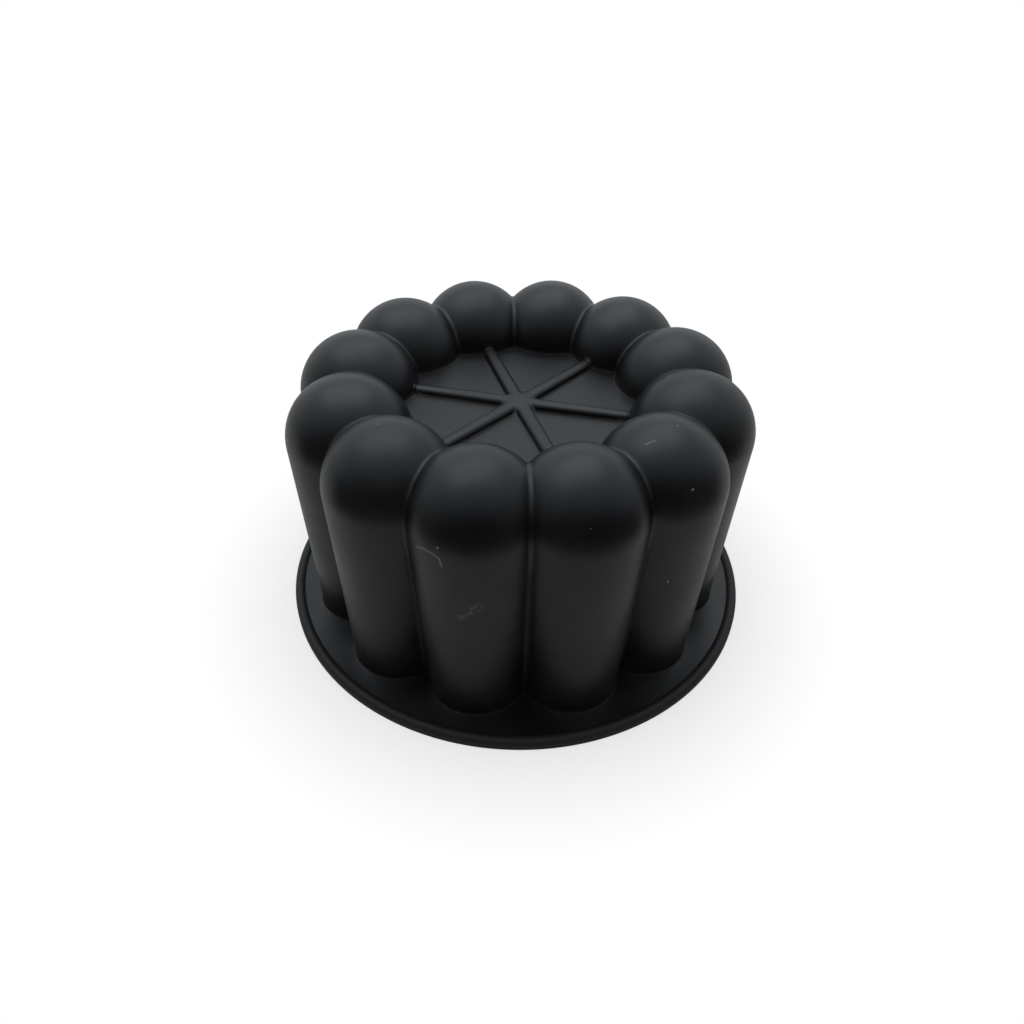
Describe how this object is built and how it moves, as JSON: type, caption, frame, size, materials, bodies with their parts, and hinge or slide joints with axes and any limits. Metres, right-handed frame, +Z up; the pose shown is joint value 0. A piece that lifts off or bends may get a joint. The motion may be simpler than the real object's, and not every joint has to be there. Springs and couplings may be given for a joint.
{
  "type": "charlotte mould",
  "caption": "Round silicone charlotte mould with a scalloped wall of domed lobes, a sunken ribbed base plate and a flat flange with a wire-stiffened rim.",
  "frame": {"origin": "on the mould's axis, in the plane of the rim's seat, with the mould standing mouth down", "axes": "+Z up along the axis, from the open mouth to the domed closed end; +X through a valley between two lobes"},
  "size_m": [0.1904, 0.1904, 0.1022],
  "materials": {
    "silicone": "satin charcoal-black moulded silicone, dusty in places",
    "hoop_steel": "drawn stainless wire"
  },
  "bodies": {
    "root": {"mould_shell": "silicone", "rim_hoop": "hoop_steel"}
  },
  "joints": []
}
